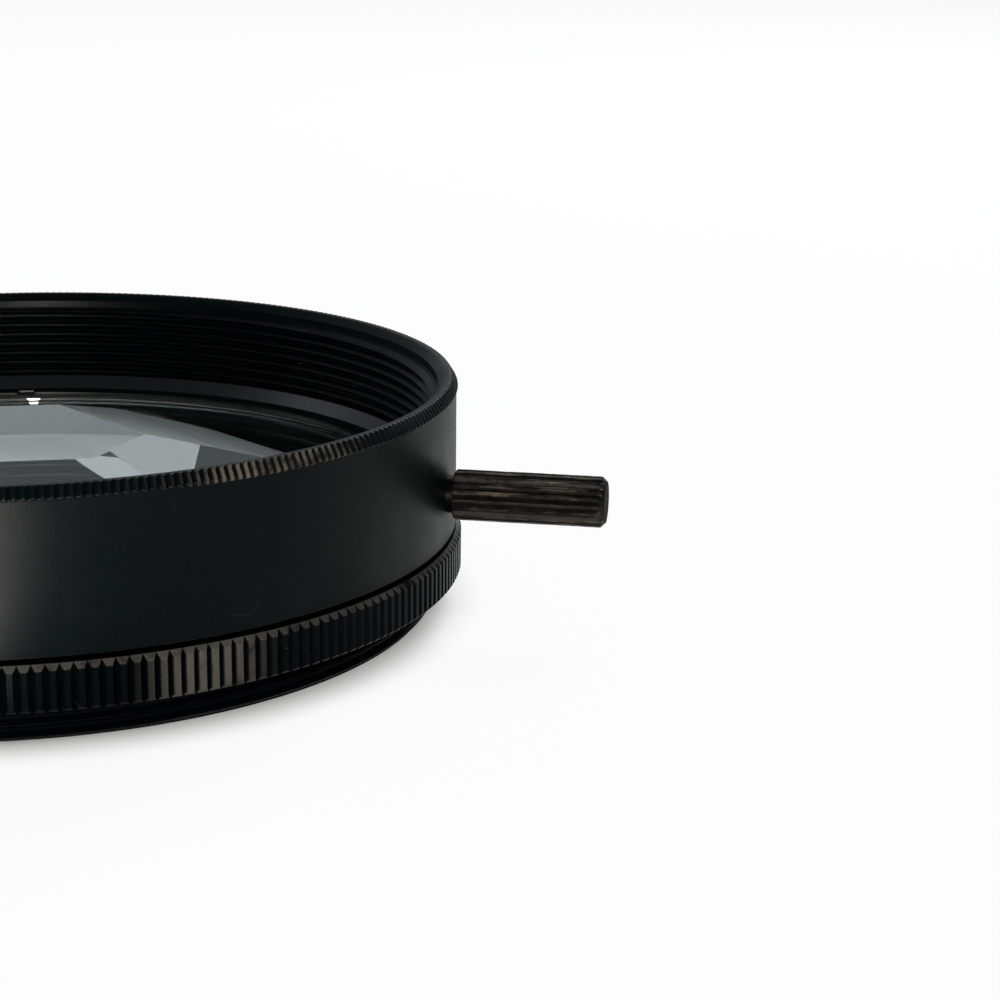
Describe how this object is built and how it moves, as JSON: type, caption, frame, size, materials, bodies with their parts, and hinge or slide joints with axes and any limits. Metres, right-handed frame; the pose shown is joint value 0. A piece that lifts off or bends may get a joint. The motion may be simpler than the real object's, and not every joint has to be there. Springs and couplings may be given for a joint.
{
  "type": "rotating star effect filter",
  "caption": "Round rotating star effect filter with a faceted prism glass in a tall knurled barrel, a fluted side handle and a threaded mounting ring.",
  "frame": {"origin": "on the optical axis at the rear end of the male thread", "axes": "+Z along the optical axis towards the front rim, +X along the handle"},
  "size_m": [0.0719, 0.0618, 0.0156],
  "materials": {
    "ring_black": "black anodised, semi-gloss",
    "barrel_black": "black anodised, satin",
    "glass": "polished optical glass",
    "cushion": "matte black",
    "retainer_black": "black anodised, satin",
    "spring_steel": "bright drawn wire",
    "handle_brass": "blackened, worn along the ridges",
    "screw_steel": "plain turned"
  },
  "bodies": {
    "mount": {"mounting_ring": "ring_black", "snap_ring": "spring_steel"},
    "rotor": {"rotating_barrel": "barrel_black", "prism_glass": "glass", "cushion_ring": "cushion", "retaining_ring": "retainer_black", "handle": "handle_brass", "handle_screw": "screw_steel"}
  },
  "joints": [
    {"name": "barrel_turn", "type": "hinge", "parent": "mount", "child": "rotor", "pos_m": [0, 0, 0.0039], "axis": [0, 0, 1], "continuous": true}
  ]
}
